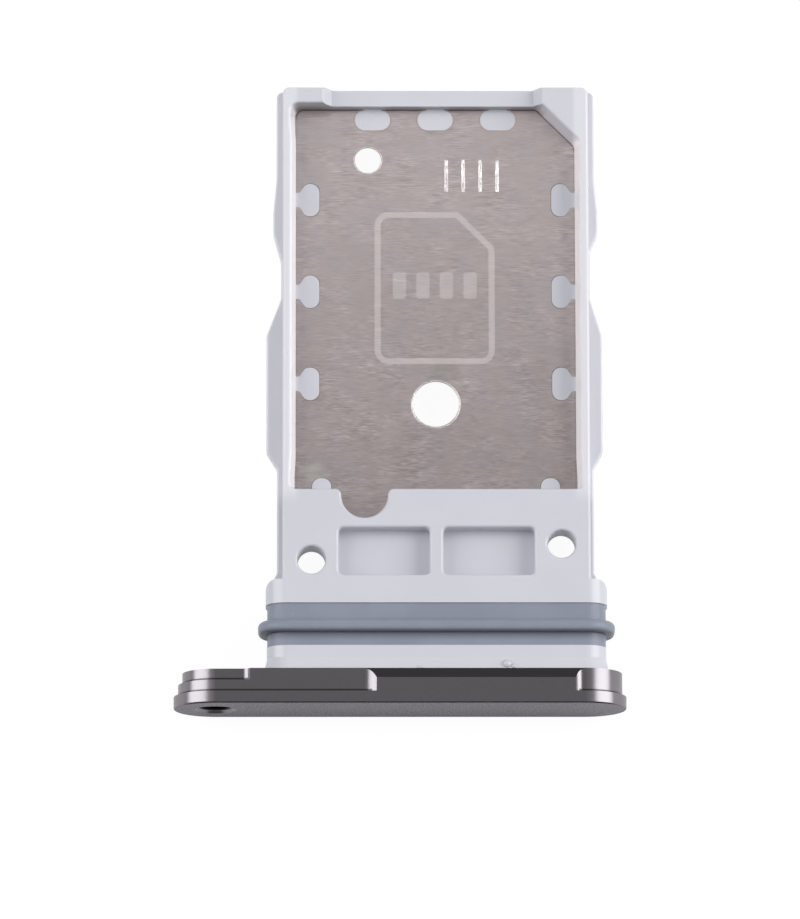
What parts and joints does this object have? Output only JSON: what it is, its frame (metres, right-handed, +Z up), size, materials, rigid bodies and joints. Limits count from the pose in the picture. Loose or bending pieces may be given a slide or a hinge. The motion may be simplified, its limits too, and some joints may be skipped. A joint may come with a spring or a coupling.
{
  "type": "sim card tray",
  "caption": "Phone tray with a metal faceplate and a moulded frame that carries a nano SIM card on each side of a thin steel plate, with a seal ring.",
  "frame": {"origin": "under the middle of the whole tray, level with the lowest line of the faceplate", "axes": "+Y from the faceplate towards the card end, +Z up, +X to the right as seen from the faceplate"},
  "size_m": [0.0142, 0.02, 0.0026],
  "materials": {
    "anodised_metal": "dark grey anodised, fine bead-blasted front",
    "white_moulding": "satin white moulding",
    "plate_steel": "brushed across the tray",
    "seal_silicone": "blue-grey silicone"
  },
  "bodies": {
    "root": {"faceplate": "anodised_metal", "plastic_frame": "white_moulding", "divider_plate": "plate_steel", "seal_ring": "seal_silicone"}
  },
  "joints": []
}
